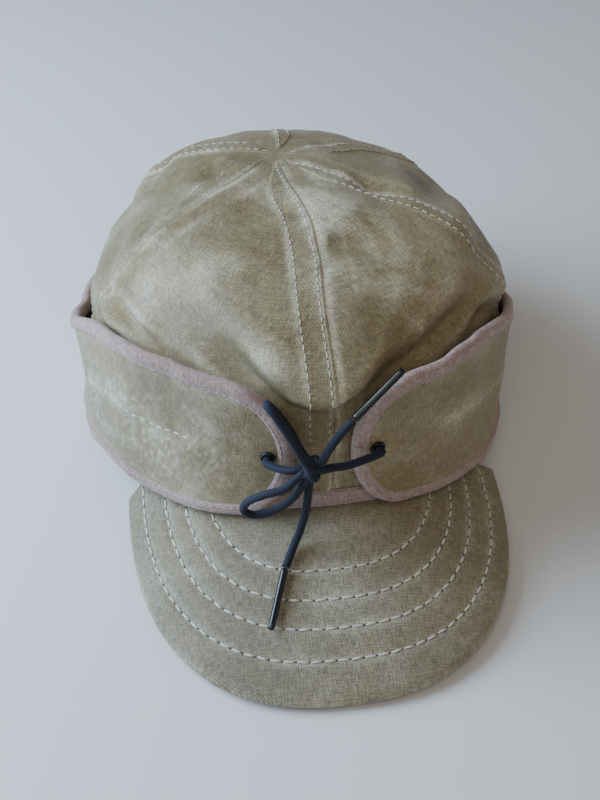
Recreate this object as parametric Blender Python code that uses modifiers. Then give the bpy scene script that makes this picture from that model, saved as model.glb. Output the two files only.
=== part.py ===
"""A six-panel work cap with a stiff bill and a pull-down earband laced at the front.

Metres, +Z up, the bill points towards -Y.  The cap stands on the lower edge of its crown,
at z = 0, and the frame's origin is under the middle of its length.  The shapes are written
about the head's own centre.  An angle of 0 is the middle of the front, growing towards +X.
"""

from math import acos, asin, cos, exp, pi, radians, sin

import bmesh
import bpy
from mathutils import Matrix, Vector

for old in list(bpy.data.objects):
    bpy.data.objects.remove(old, do_unlink=True)

# ---------------------------------------------------------------- driving dimensions
HEAD_HALF_WIDTH = 0.084       # inside of the sweatband, half the width
HEAD_HALF_LENGTH = 0.097      # inside of the sweatband, half the length
CROWN_HEIGHT = 0.103          # inside the lining, from the table to the top
FRONT_RISE = 0.032            # how far the lower edge climbs at the front
WALL_HEIGHT = 0.034           # upright lower part of the crown
BACK_FULLNESS = 2.35          # roundness of the dome above it at the back
FRONT_FULLNESS = 1.05         # added to it towards the front, where the crown is boxier
FRONT_FROM = radians(127)     # angle at which that starts to be added
FRONT_FROM_FULL = radians(60)  # and at which all of it is
APEX_BACK = 0.034             # how far behind the head's centre the six panels meet
APEX_DRIFT = 1.5              # how late in the climb the crown leans back to it

CLEARANCE = 0.0003            # between any two layers of cloth
SWEATBAND_THICKNESS = 0.0014
SWEATBAND_HEIGHT = 0.032
LINING_THICKNESS = 0.0010
CROWN_THICKNESS = 0.0020
TRIM_THICKNESS = 0.0010       # base binding and gusset, both against the crown
BASE_BINDING_HEIGHT = 0.009
GUSSET_HEIGHT = 0.033

BAND_HEIGHT = 0.066           # at its tied ends
TEMPLE_RISE = 0.15            # share that is added to it at its tallest
TEMPLE_ANGLE = radians(46)
TEMPLE_SPREAD = radians(22)
BACK_FALL = 0.07              # share that it loses behind the temples
BACK_FALL_FROM = radians(60)
BACK_FALL_TO = radians(90)
BAND_LIFT = 0.0006            # lower edge of the band above the crown's lower edge
BAND_LINING_THICKNESS = 0.0010
BAND_OUTER_THICKNESS = 0.0014
BAND_END_HALF_GAP = 0.0105    # from the middle of the front to each rounded end
BAND_END_LENGTH = 0.024       # how long the half-oval part of an end is
BINDING_THICKNESS = 0.0006
BINDING_WIDTH = 0.0062
BAND_SPLIT_ANGLE = radians(56)  # where the tied ends meet the part that pulls down
BAND_SPLIT_GAP = 0.0006

BILL_HALF_ANGLE = radians(50)
BILL_HALF_WIDTH = 0.0755
BILL_LENGTH = 0.105           # from its widest line to its tip
BILL_WIDE_LINE = -0.069       # y of that line
BILL_FULLNESS = 2.5
BILL_TIP_HEIGHT = 0.0006
BILL_CORNER_HEIGHT = 0.0040
BILL_COVER_THICKNESS = 0.0008
BILL_CORE_THICKNESS = 0.0018
BILL_STACK_SLACK = 1.15       # a sloping sheet is thicker when it is measured upright

EYELET_HEIGHT = BAND_HEIGHT / 2  # the rounded end is deepest in its middle
EYELET_TO_BINDING = 0.0005
EYELET_BORE_RADIUS = 0.00175
EYELET_WALL = 0.0005
EYELET_FLANGE_RADIUS = 0.0030
FLANGE_THICKNESS = 0.0006

LACE_DIAMETER = 0.003
BOW_HEIGHT = 0.033            # of the lace's points, above the band's lower edge
LACE_POINT_SPACING = 0.0065
KNOT_CENTRE = Vector((-0.0060, -0.0078, 0.0029))  # from the middle of the band's front
KNOT_RADII = (0.0058, 0.0044, 0.0052)
AGLET_RADIUS = 0.0019
AGLET_LENGTH = 0.024

TURN_STEPS = 48               # columns in a full turn of any sheet
DOME_ROWS = 8
WALL_SHARE = 0.125            # share of those rows that the upright wall takes
APEX_RADIUS = 0.0020          # hole that the six panel tips leave

# ---------------------------------------------------------------- layers, inside to outside
LINING_OFFSET = SWEATBAND_THICKNESS + CLEARANCE
CROWN_OFFSET = LINING_OFFSET + LINING_THICKNESS + CLEARANCE
TRIM_OFFSET = CROWN_OFFSET + CROWN_THICKNESS + CLEARANCE
BAND_INSIDE = TRIM_OFFSET + TRIM_THICKNESS + CLEARANCE
BAND_LINING_OFFSET = BAND_INSIDE + BINDING_THICKNESS + CLEARANCE
BAND_OUTER_OFFSET = BAND_LINING_OFFSET + BAND_LINING_THICKNESS + CLEARANCE
BAND_OUTER_FACE = BAND_OUTER_OFFSET + BAND_OUTER_THICKNESS
BINDING_OUTER_OFFSET = BAND_OUTER_FACE + CLEARANCE
BINDING_INNER_OFFSET = BAND_INSIDE + BINDING_THICKNESS
BAND_SHEET_INSET = BINDING_THICKNESS + CLEARANCE
EYELET_OFF_CENTRE = BAND_END_HALF_GAP + BINDING_WIDTH + EYELET_TO_BINDING + EYELET_FLANGE_RADIUS

# ---------------------------------------------------------------- collections and materials
parts = bpy.data.collections.new("earband_cap")
cutters = bpy.data.collections.new("cutters")
bpy.context.scene.collection.children.link(parts)
bpy.context.scene.collection.children.link(cutters)

BACK_OF_CAP = HEAD_HALF_LENGTH + BINDING_OUTER_OFFSET + BINDING_THICKNESS
TIP_OF_BILL = BILL_LENGTH - BILL_WIDE_LINE
head_centre = bpy.data.objects.new("head_centre", None)
parts.objects.link(head_centre)
head_centre.location.y = (TIP_OF_BILL - BACK_OF_CAP) / 2


def make_material(name, colour, roughness, metallic=0.0):
    material = bpy.data.materials.new(name)
    material.use_nodes = True
    shader = material.node_tree.nodes["Principled BSDF"]
    shader.inputs["Base Color"].default_value = (*colour, 1.0)
    shader.inputs["Roughness"].default_value = roughness
    shader.inputs["Metallic"].default_value = metallic
    return material


WAXED = ((0.235, 0.195, 0.115), 0.72)
BINDING = ((0.300, 0.200, 0.160), 0.80)
BLACK_CLOTH = ((0.012, 0.012, 0.014), 0.90)
TAN_CLOTH = ((0.330, 0.260, 0.160), 0.85)
BOARD = ((0.500, 0.480, 0.430), 0.70)
BLACK_METAL = ((0.010, 0.010, 0.012), 0.30, 0.8)
LACE_CLOTH = ((0.010, 0.013, 0.022), 0.75)
BLACK_PLASTIC = ((0.008, 0.009, 0.012), 0.25)


def add_part(name, mesh, look):
    """Make one named object with its own material in the cap's collection."""
    item = bpy.data.objects.new(name, mesh)
    parts.objects.link(item)
    item.parent = head_centre
    item.data.materials.append(make_material(name, *look))
    return item


# ---------------------------------------------------------------- shapes of the cap
def base_height(angle):
    """Height of the crown's lower edge: level behind, climbing to the front."""
    return FRONT_RISE * max(cos(angle), 0.0) ** 2


def ring_point(angle, offset, height):
    """A point on the head's outline, pushed out by offset, at height above the lower edge."""
    return Vector((
        (HEAD_HALF_WIDTH + offset) * sin(angle),
        -(HEAD_HALF_LENGTH + offset) * cos(angle),
        base_height(angle) + height,
    ))


def outward(angle, offset):
    """Level direction that points straight out of the outline."""
    return Vector((
        sin(angle) / (HEAD_HALF_WIDTH + offset),
        -cos(angle) / (HEAD_HALF_LENGTH + offset),
        0.0,
    )).normalized()


def eased(value, start, end):
    """0 before start, 1 after end, with an even curve between them."""
    share = min(max((value - start) / (end - start), 0.0), 1.0)
    return share * share * (3 - 2 * share)


def dome_reach(angle, offset, climb):
    """Shares of the half width and of the dome's height at a climb from 0 to 1."""
    if climb < WALL_SHARE:
        return 1.0, 0.0
    fullness = BACK_FULLNESS + FRONT_FULLNESS * eased(cos(angle), cos(FRONT_FROM), cos(FRONT_FROM_FULL))
    last = acos((APEX_RADIUS / (HEAD_HALF_WIDTH + offset)) ** (fullness / 2))
    turn = last * (climb - WALL_SHARE) / (1 - WALL_SHARE)
    return cos(turn) ** (2 / fullness), sin(turn) ** (2 / fullness)


def dome_point(angle, offset, climb):
    """A point on the crown, an upright wall below a dome; climb runs from 0 to 1."""
    if climb < WALL_SHARE:
        return ring_point(angle, offset, WALL_HEIGHT * climb / WALL_SHARE)
    reach, rise = dome_reach(angle, offset, climb)
    shoulder = base_height(angle) + WALL_HEIGHT
    return Vector((
        (HEAD_HALF_WIDTH + offset) * reach * sin(angle),
        APEX_BACK * (1 - reach) ** APEX_DRIFT - (HEAD_HALF_LENGTH + offset) * reach * cos(angle),
        shoulder + (CROWN_HEIGHT + offset - shoulder) * rise,
    ))


def sheet(name, columns, rows, place, thickness, look, grow=1.0):
    """A grid moved onto a surface by place(across, up), both 0 to 1, then thickened."""
    shape = bmesh.new()
    bmesh.ops.create_grid(shape, x_segments=columns, y_segments=rows, size=1.0)
    for vertex in shape.verts:
        vertex.co = place((vertex.co.x + 1) / 2, (vertex.co.y + 1) / 2)
    bmesh.ops.remove_doubles(shape, verts=shape.verts, dist=0.00001)
    mesh = bpy.data.meshes.new(name)
    shape.to_mesh(mesh)
    shape.free()
    mesh.shade_smooth()
    item = add_part(name, mesh, look)
    solidify = item.modifiers.new("thickness", "SOLIDIFY")
    solidify.thickness = thickness
    solidify.offset = grow
    solidify.use_even_offset = True
    return item


# ---------------------------------------------------------------- crown
WIDEST_SEAM = 0.2             # sine of half the gap between two panels, at their tips


def crown_panel(name, first, last):
    def place(across, up):
        reach = dome_reach((first + last) / 2, CROWN_OFFSET, up)[0]
        seam = asin(min(CLEARANCE / 2 / (reach * HEAD_HALF_WIDTH), WIDEST_SEAM))
        return dome_point(first + seam + across * (last - first - 2 * seam), CROWN_OFFSET, up)

    return sheet(name, TURN_STEPS // 6, DOME_ROWS, place, CROWN_THICKNESS, WAXED)


def full_turn(across):
    return across * 2 * pi


crown_panel("crown_panel_front_right", 0, pi / 3)
crown_panel("crown_panel_side_right", pi / 3, 2 * pi / 3)
crown_panel("crown_panel_back_right", 2 * pi / 3, pi)
crown_panel("crown_panel_back_left", pi, 4 * pi / 3)
crown_panel("crown_panel_side_left", 4 * pi / 3, 5 * pi / 3)
crown_panel("crown_panel_front_left", 5 * pi / 3, 2 * pi)


def lining_place(across, up):
    return dome_point(full_turn(across), LINING_OFFSET, up)


def sweatband_place(across, up):
    return ring_point(full_turn(across), 0.0, up * SWEATBAND_HEIGHT)


def base_binding_place(across, up):
    angle = (across * 2 - 1) * BILL_HALF_ANGLE
    return ring_point(angle, TRIM_OFFSET, up * BASE_BINDING_HEIGHT)


sheet("crown_lining", TURN_STEPS, DOME_ROWS, lining_place, LINING_THICKNESS, BLACK_CLOTH)
sheet("sweatband", TURN_STEPS, 2, sweatband_place, SWEATBAND_THICKNESS, TAN_CLOTH)
sheet("base_binding", 14, 1, base_binding_place, TRIM_THICKNESS, BINDING)


# ---------------------------------------------------------------- bill
def bill_place(lift):
    """A surface ruled from the bill's outer edge to the crown's lower edge."""
    stack = BILL_STACK_SLACK * (2 * BILL_COVER_THICKNESS + BILL_CORE_THICKNESS) + 2 * CLEARANCE

    def place(across, inward):
        side = across * 2 - 1
        turn = side * pi / 2
        wide = abs(sin(turn)) ** (2 / BILL_FULLNESS)
        long = abs(cos(turn)) ** (2 / BILL_FULLNESS)
        edge = Vector((
            BILL_HALF_WIDTH * wide * (1 if side > 0 else -1),
            BILL_WIDE_LINE - BILL_LENGTH * long,
            BILL_TIP_HEIGHT + (BILL_CORNER_HEIGHT - BILL_TIP_HEIGHT) * wide ** 2 + lift,
        ))
        root = ring_point(side * BILL_HALF_ANGLE, LINING_OFFSET, lift - stack - CLEARANCE * 2)
        return edge.lerp(root, inward)

    return place


COVER_STEP = BILL_COVER_THICKNESS * BILL_STACK_SLACK + CLEARANCE
CORE_STEP = BILL_CORE_THICKNESS * BILL_STACK_SLACK + CLEARANCE
sheet("bill_bottom_cover", 24, 3, bill_place(0.0), BILL_COVER_THICKNESS, WAXED)
sheet("bill_core", 24, 3, bill_place(COVER_STEP), BILL_CORE_THICKNESS, BOARD)
sheet("bill_top_cover", 24, 3, bill_place(COVER_STEP + CORE_STEP), BILL_COVER_THICKNESS, WAXED)


# ---------------------------------------------------------------- earband
def band_ring(side, angle, offset, height):
    """A point on the band, which is taller at the temples and lower behind them."""
    round_head = min(angle, 2 * pi - angle)
    share = 1 + TEMPLE_RISE * exp(-((round_head - TEMPLE_ANGLE) / TEMPLE_SPREAD) ** 2)
    share -= BACK_FALL * eased(round_head, BACK_FALL_FROM, BACK_FALL_TO)
    return ring_point(side * angle, offset, BAND_LIFT + height * share)


END_COLUMNS = 9
END_ROWS = 16
BACK_COLUMNS = 34
EDGE_SHARE = 0.3              # share of the binding's length that each straight edge takes
END_STATIONS = round(END_ROWS / (1 - 2 * EDGE_SHARE))
SPLIT_INSET = BAND_SPLIT_GAP / 2 / HEAD_HALF_WIDTH


def end_arc(turn, inset):
    """Angle and height on the half-oval free end; turn is 0 at its top and pi at its foot."""
    tip = BAND_END_HALF_GAP + BAND_END_LENGTH - (BAND_END_LENGTH - inset) * sin(turn)
    height = BAND_HEIGHT / 2 + (BAND_HEIGHT / 2 - inset) * cos(turn)
    return tip / (HEAD_HALF_WIDTH + BAND_OUTER_OFFSET), height


def end_sheet_place(side, offset):
    """The tied end of the band: its free edge is a half oval, its other edge the split."""
    def place(across, up):
        first, height = end_arc((1 - up) * pi, BAND_SHEET_INSET)
        last = BAND_SPLIT_ANGLE - SPLIT_INSET
        share = across if side > 0 else 1 - across
        return band_ring(side, first + share * (last - first), offset, height)

    return place


def end_outline(along, inset):
    """Angle and height of a point on an end's outline: top edge, half oval, lower edge."""
    turn = pi * min(max((along - EDGE_SHARE) / (1 - 2 * EDGE_SHARE), 0.0), 1.0)
    corner, height = end_arc(turn, inset)
    from_split = min(along, 1 - along) / EDGE_SHARE
    if from_split >= 1:
        return corner, height
    last = BAND_SPLIT_ANGLE - SPLIT_INSET
    return last + (corner - last) * from_split, height


# Across the binding's fold: outer wall, edge, inner wall, as (inset, offset) of its inside face.
FOLD = (
    (BINDING_WIDTH, BINDING_OUTER_OFFSET),
    (BINDING_THICKNESS, BINDING_OUTER_OFFSET),
    (BINDING_THICKNESS, BINDING_INNER_OFFSET),
    (BINDING_WIDTH, BINDING_INNER_OFFSET),
)


def end_binding_place(side):
    def place(along, across):
        step = round(across * 3)
        inset, offset = FOLD[3 - step if side > 0 else step]
        angle, height = end_outline(along, inset)
        return band_ring(side, angle, offset, height)

    return place


def back_angle(across):
    first = BAND_SPLIT_ANGLE + SPLIT_INSET
    return first + across * (2 * pi - 2 * first)


def back_sheet_place(offset):
    def place(across, up):
        height = BAND_SHEET_INSET + up * (BAND_HEIGHT - 2 * BAND_SHEET_INSET)
        return band_ring(1, back_angle(across), offset, height)

    return place


def back_binding_place(top):
    def place(across, fold):
        step = round(fold * 3)
        inset, offset = FOLD[step if top else 3 - step]
        height = BAND_HEIGHT - inset if top else inset
        return band_ring(1, back_angle(across), offset, height)

    return place


def gusset_place(across, up):
    return ring_point(back_angle(across), TRIM_OFFSET, BAND_LIFT + up * GUSSET_HEIGHT)


band_ends = {}
for side, side_name in ((-1, "left"), (1, "right")):
    band_ends[side] = (
        sheet(f"earband_end_{side_name}_outer", END_COLUMNS, END_ROWS,
              end_sheet_place(side, BAND_OUTER_OFFSET), BAND_OUTER_THICKNESS, WAXED),
        sheet(f"earband_end_{side_name}_lining", END_COLUMNS, END_ROWS,
              end_sheet_place(side, BAND_LINING_OFFSET), BAND_LINING_THICKNESS, BLACK_CLOTH),
    )
    sheet(f"earband_end_{side_name}_binding", END_STATIONS, 3, end_binding_place(side),
          BINDING_THICKNESS, BINDING)

sheet("earband_back_outer", BACK_COLUMNS, 3, back_sheet_place(BAND_OUTER_OFFSET),
      BAND_OUTER_THICKNESS, WAXED)
sheet("earband_back_lining", BACK_COLUMNS, 3, back_sheet_place(BAND_LINING_OFFSET),
      BAND_LINING_THICKNESS, BLACK_CLOTH)
sheet("earband_back_top_binding", BACK_COLUMNS, 3, back_binding_place(True),
      BINDING_THICKNESS, BINDING)
sheet("earband_back_lower_binding", BACK_COLUMNS, 3, back_binding_place(False),
      BINDING_THICKNESS, BINDING)
sheet("earband_gusset", BACK_COLUMNS, 2, gusset_place, TRIM_THICKNESS, BLACK_CLOTH)


# ---------------------------------------------------------------- eyelets
def turned(name, profile, look, holder, steps=16):
    """A closed profile of (radius, height), outer side downwards, turned about the holder's Z."""
    mesh = bpy.data.meshes.new(name)
    corners = [(radius, 0.0, height) for radius, height in profile]
    edges = [(i, (i + 1) % len(corners)) for i in range(len(corners))]
    mesh.from_pydata(corners, edges, [])
    item = add_part(name, mesh, look)
    item.parent = holder
    screw = item.modifiers.new("turn", "SCREW")
    screw.steps = steps
    screw.render_steps = steps
    screw.use_merge_vertices = True
    screw.merge_threshold = 0.00001
    return item


EYELET_ANGLE = asin(EYELET_OFF_CENTRE / (HEAD_HALF_WIDTH + BAND_OUTER_FACE))
BARREL_RADIUS = EYELET_BORE_RADIUS + EYELET_WALL
FLANGE_SEAT = BAND_OUTER_FACE + CLEARANCE
HOLE_RADIUS = BARREL_RADIUS + CLEARANCE
PUNCH_DEPTH = 0.02

for side, side_name in ((-1, "left"), (1, "right")):
    angle = side * EYELET_ANGLE
    face = ring_point(angle, BAND_OUTER_FACE, BAND_LIFT + EYELET_HEIGHT)
    holder = bpy.data.objects.new(f"eyelet_{side_name}_place", None)
    parts.objects.link(holder)
    holder.parent = head_centre
    holder.location = face
    holder.rotation_mode = "QUATERNION"
    holder.rotation_quaternion = outward(angle, BAND_OUTER_FACE).to_track_quat("Z", "Y")

    back = BAND_INSIDE - BAND_OUTER_FACE
    front = CLEARANCE + FLANGE_THICKNESS
    turned(f"eyelet_{side_name}", [
        (EYELET_BORE_RADIUS, front), (EYELET_FLANGE_RADIUS, front),
        (EYELET_FLANGE_RADIUS, CLEARANCE), (BARREL_RADIUS, CLEARANCE),
        (BARREL_RADIUS, back), (EYELET_BORE_RADIUS, back),
    ], BLACK_METAL, holder)
    washer_front = BAND_LINING_OFFSET - CLEARANCE - BAND_OUTER_FACE
    turned(f"eyelet_washer_{side_name}", [
        (HOLE_RADIUS, washer_front), (EYELET_FLANGE_RADIUS, washer_front),
        (EYELET_FLANGE_RADIUS, back), (HOLE_RADIUS, back),
    ], BLACK_METAL, holder)

    punch_mesh = bpy.data.meshes.new(f"eyelet_punch_{side_name}")
    punch_shape = bmesh.new()
    bmesh.ops.create_cone(punch_shape, cap_ends=True, segments=16, radius1=HOLE_RADIUS,
                          radius2=HOLE_RADIUS, depth=PUNCH_DEPTH)
    punch_shape.to_mesh(punch_mesh)
    punch_shape.free()
    punch = bpy.data.objects.new(f"eyelet_punch_{side_name}", punch_mesh)
    cutters.objects.link(punch)
    punch.parent = holder
    punch.hide_render = True
    punch.display_type = "WIRE"
    for layer in band_ends[side]:
        hole = layer.modifiers.new("eyelet hole", "BOOLEAN")
        hole.operation = "DIFFERENCE"
        hole.object = punch


# ---------------------------------------------------------------- lace
def smooth_route(points, spacing):
    """Points about spacing apart on a Catmull-Rom curve through the route's own points."""
    ends = [2 * points[0] - points[1], *points, 2 * points[-1] - points[-2]]
    fine, steps = [], 24
    for a, b, c, d in zip(ends, ends[1:], ends[2:], ends[3:], strict=False):
        for step in range(steps):
            t = step / steps
            fine.append(0.5 * (2 * b + (c - a) * t + (2 * a - 5 * b + 4 * c - d) * t ** 2
                               + (3 * b - a - 3 * c + d) * t ** 3))
    fine.append(points[-1])
    length = sum((q - p).length for p, q in zip(fine, fine[1:], strict=False))
    count = max(round(length / spacing), 2)
    route, walked, target = [fine[0]], 0.0, length / count
    for p, q in zip(fine, fine[1:], strict=False):
        walked += (q - p).length
        if walked >= target - 1e-7 and len(route) < count:
            route.append(q)
            target += length / count
    return [*route, fine[-1]]


def tube(name, route, radius, look, resolution=2):
    curve = bpy.data.curves.new(name, "CURVE")
    curve.dimensions = "3D"
    curve.bevel_depth = radius
    curve.bevel_resolution = resolution
    curve.use_fill_caps = True
    spline = curve.splines.new("POLY")
    spline.points.add(len(route) - 1)
    for point, place in zip(spline.points, route, strict=True):
        point.co = (*place, 1.0)
    return add_part(name, curve, look)


BAND_FRONT = Vector((0.0, -(HEAD_HALF_LENGTH + BAND_OUTER_FACE), FRONT_RISE + BAND_LIFT + BOW_HEIGHT))


def mm(*triples):
    """Places in millimetres from the middle of the band's front, at the bow's height."""
    return [BAND_FRONT + Vector(triple) / 1000 for triple in triples]


def out_of_eyelet(side):
    """The tied lace starts at the eyelet's front and leaves it straight."""
    front = FLANGE_SEAT + FLANGE_THICKNESS + 2 * CLEARANCE
    return [ring_point(side * EYELET_ANGLE, offset, BAND_LIFT + EYELET_HEIGHT)
            for offset in (front, front + LACE_DIAMETER)]


LACE_ROUTES = {
    "lace_strand_left": out_of_eyelet(-1) + mm(
        (-19.0, -4.6, -0.6), (-15.6, -6.6, 0.6), (-12.4, -7.6, 2.0)),
    "lace_strand_right": out_of_eyelet(1) + mm(
        (15.6, -4.4, -0.2), (9.0, -7.0, 1.0), (0.6, -7.8, 2.6)),
    "lace_loop_lower": mm(
        (-11.2, -10.6, 0.6), (-16.0, -13.0, -2.6), (-23.5, -12.0, -6.0), (-29.2, -9.6, -11.6),
        (-30.6, -8.2, -17.4), (-26.4, -8.4, -20.2), (-19.0, -9.6, -17.0), (-13.0, -11.0, -10.2),
        (-9.8, -10.6, -4.2)),
    "lace_loop_upper": mm(
        (-8.8, -4.0, 8.0), (-12.4, -1.6, 15.0), (-16.6, -1.0, 22.8), (-20.2, -2.4, 29.4),
        (-20.8, -5.8, 31.8), (-18.2, -8.4, 28.8), (-13.2, -10.0, 19.0), (-8.9, -10.4, 9.0)),
    "lace_tail_lower": mm(
        (-6.4, -9.4, -3.6), (-7.2, -10.2, -11.6), (-8.2, -9.8, -21.6), (-10.0, -9.4, -30.8),
        (-12.4, -11.0, -36.8), (-16.4, -18.2, -40.4)),
    "lace_tail_upper": mm(
        (-1.8, -10.4, 7.6), (0.2, -10.8, 13.4), (4.2, -9.4, 19.0), (9.2, -7.4, 23.6)),
}
AGLETS = {
    "aglet_lower": mm((-16.7, -18.7, -40.6), (-24.3, -40.6, -48.2)),
    "aglet_upper": mm((9.6, -7.2, 24.0), (26.0, 0.6, 36.4)),
}

for name, points in LACE_ROUTES.items():
    tube(name, smooth_route(points, LACE_POINT_SPACING), LACE_DIAMETER / 2, LACE_CLOTH)

for name, (start, toward) in AGLETS.items():
    direction = (toward - start).normalized()
    tube(name, [start, start + direction * AGLET_LENGTH], AGLET_RADIUS, BLACK_PLASTIC, 4)

knot_shape = bmesh.new()
bmesh.ops.create_uvsphere(knot_shape, u_segments=12, v_segments=8, radius=1.0)
knot_place = Matrix.Translation(BAND_FRONT + KNOT_CENTRE)
knot_size = Matrix.Diagonal((*KNOT_RADII, 1.0))
bmesh.ops.transform(knot_shape, verts=knot_shape.verts, matrix=knot_place @ knot_size)
knot_mesh = bpy.data.meshes.new("lace_knot")
knot_shape.to_mesh(knot_mesh)
knot_shape.free()
knot_mesh.shade_smooth()
add_part("lace_knot", knot_mesh, LACE_CLOTH)
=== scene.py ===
# %% [markdown]
# # A waxed-cotton work cap with an earband and a laced bow
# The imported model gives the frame: where the head's centre is, how wide the crown is and how high
# the earband stands.  Every cloth piece below is shaped around those sizes, so the looks and the
# moving model always agree.

# %% Load the frame
from math import asin, cos, exp, pi, radians, sin

import bmesh
import bpy
from mathutils import Matrix, Quaternion, Vector, noise
from mathutils.bvhtree import BVHTree


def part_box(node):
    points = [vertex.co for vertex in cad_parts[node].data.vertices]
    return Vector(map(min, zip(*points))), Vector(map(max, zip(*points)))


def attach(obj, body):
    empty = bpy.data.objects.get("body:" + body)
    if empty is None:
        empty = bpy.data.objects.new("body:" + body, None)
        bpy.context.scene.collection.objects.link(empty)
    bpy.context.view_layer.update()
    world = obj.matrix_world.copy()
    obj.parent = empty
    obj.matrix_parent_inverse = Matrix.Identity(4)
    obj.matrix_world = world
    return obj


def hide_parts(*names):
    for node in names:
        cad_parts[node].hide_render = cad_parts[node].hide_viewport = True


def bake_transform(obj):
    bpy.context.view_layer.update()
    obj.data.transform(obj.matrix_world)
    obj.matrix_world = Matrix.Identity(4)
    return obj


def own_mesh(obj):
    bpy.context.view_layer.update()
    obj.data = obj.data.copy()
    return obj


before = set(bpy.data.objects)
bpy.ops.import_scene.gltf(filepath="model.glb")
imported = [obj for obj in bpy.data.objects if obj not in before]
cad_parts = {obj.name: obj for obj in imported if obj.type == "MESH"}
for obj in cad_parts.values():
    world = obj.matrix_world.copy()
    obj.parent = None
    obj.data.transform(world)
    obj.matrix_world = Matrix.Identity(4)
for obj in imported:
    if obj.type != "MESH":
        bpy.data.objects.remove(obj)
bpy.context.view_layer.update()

# %% [markdown]
# ## Sizes
# The sweatband is a plain ring around the head, so the middle of its box is the head's centre.  The
# crown's half width and half length come from the panels' boxes.  An angle of 0 is the middle of
# the front and grows towards +X.  The lower edge of the cap climbs at the front, where the bill is.
# Left and right in a name are as seen by someone who faces the cap.

# %% Sizes read from the frame
sweat_low, sweat_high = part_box("sweatband")
HEAD_Y = (sweat_low.y + sweat_high.y) / 2
CROWN_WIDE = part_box("crown_panel_side_right")[1].x
CROWN_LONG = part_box("crown_panel_back_left")[1].y - HEAD_Y
CROWN_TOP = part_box("crown_panel_side_right")[1].z
CROWN_WALL = 0.034
BASE_TAPE_HEIGHT = 0.009
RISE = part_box("base_binding")[1].z - BASE_TAPE_HEIGHT
BAND_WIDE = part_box("earband_back_outer")[1].x
BAND_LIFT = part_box("earband_back_lower_binding")[0].z
EAR_RISE = 0.15
BACK_DROP = 0.07
BAND_HEIGHT = 0.066
BAND_OUT = BAND_WIDE - CROWN_WIDE
BAND_END_GAP = 0.0105
BAND_END_LENGTH = 0.024
TAPE_WIDTH = 0.0062
print(f"head centre y {HEAD_Y:.4f}, crown {CROWN_WIDE:.4f} x {CROWN_LONG:.4f}, top {CROWN_TOP:.4f}")
print(f"front rise {RISE:.4f}, band height {BAND_HEIGHT:.4f}, band outside {BAND_OUT:.4f}")


def smooth(value, start, end):
    """0 before start, 1 after end, with an even curve between them."""
    share = min(max((value - start) / (end - start), 0.0), 1.0)
    return share * share * (3 - 2 * share)


def hump(value, centre, width):
    return exp(-((value - centre) / width) ** 2)


def turned(angle):
    """The same angle between -180 and 180 degrees."""
    return (angle + pi) % (2 * pi) - pi


def low_edge(angle):
    """Height of the cap's lower edge; the soft cap is pushed up a little at one side."""
    pushed = 0.0105 * hump(turned(angle), radians(-62), radians(21))
    return RISE * max(cos(angle), 0.0) ** 2 + pushed


def lean(angle, height):
    """How far the wall leans in at the sides and back, at a height over the table."""
    behind = smooth(abs(turned(angle)), radians(68), radians(106))
    return -0.0095 * behind * smooth(height, 0.0, 0.064) * (1 - 0.75 * smooth(height, 0.064, 0.084))


def ear(angle):
    """How much taller the band is than at its ends; it is tallest before the ears."""
    side = abs(turned(angle))
    behind = smooth(side, radians(60), radians(90))
    return 1 + EAR_RISE * hump(side, radians(46), radians(22)) - BACK_DROP * behind


# %% [markdown]
# ## Camera and light
# The camera looks down at the front of the cap from just above arm's reach, a little to the
# wearer's right.  A 54 mm lens keeps the bill's proportions.  A large cool light stands at the
# upper left, like a window, with a bluer one low beside it.  A warm one stands in front, and a weak
# warm one fills the right side.

# %% Camera
def add_object(name, data):
    """A new object in the scene, with its data."""
    thing = bpy.data.objects.new(name, data)
    bpy.context.scene.collection.objects.link(thing)
    return thing


camera_data = bpy.data.cameras.new("camera")
camera_data.lens = 54.0
camera = add_object("camera", camera_data)
camera.location = (-0.0463, -0.4116 + HEAD_Y, 0.3788)
CAMERA_HEADING = radians(7.0)
CAMERA_PITCH = radians(42.9)
CAMERA_ROLL = radians(0.3)
look = Vector((sin(CAMERA_HEADING) * cos(CAMERA_PITCH), cos(CAMERA_HEADING) * cos(CAMERA_PITCH),
               -sin(CAMERA_PITCH)))
camera.rotation_mode = "QUATERNION"
camera.rotation_quaternion = look.to_track_quat("-Z", "Y") @ Quaternion((0, 0, 1), CAMERA_ROLL)
bpy.context.scene.camera = camera


# %% Floor, world and lights
def feed(tree, socket, value):
    """Give an input a number or a colour, or link it to another node's output."""
    if isinstance(value, bpy.types.NodeSocket):
        tree.links.new(value, socket)
    elif socket.type == "RGBA":
        socket.default_value = (*value, 1.0)
    else:
        socket.default_value = value


def fill(tree, node, **inputs):
    """Feed a node's inputs by name, with an underscore for each space."""
    for label, value in inputs.items():
        feed(tree, node.inputs[label.replace("_", " ")], value)
    return node


def plain_material(name, colour, roughness):
    material = bpy.data.materials.new(name)
    material.use_nodes = True
    tree = material.node_tree
    fill(tree, tree.nodes["Principled BSDF"], Base_Color=colour, Roughness=roughness)
    return material


def made_from(shape, name, material):
    """Turn a bmesh into an object with its material, and free the bmesh."""
    mesh = bpy.data.meshes.new(name)
    shape.to_mesh(mesh)
    shape.free()
    mesh.materials.append(material)
    return add_object(name, mesh)


floor_shape = bmesh.new()
bmesh.ops.create_grid(floor_shape, x_segments=1, y_segments=1, size=3.0)
floor = made_from(floor_shape, "floor", plain_material("pale_floor", (0.72, 0.71, 0.69), 0.8))
floor.location.z = -0.0002

world = bpy.data.worlds.new("studio")
world.use_nodes = True
fill(world.node_tree, world.node_tree.nodes["Background"], Color=(0.90, 0.91, 0.93), Strength=0.22)
bpy.context.scene.world = world


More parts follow.
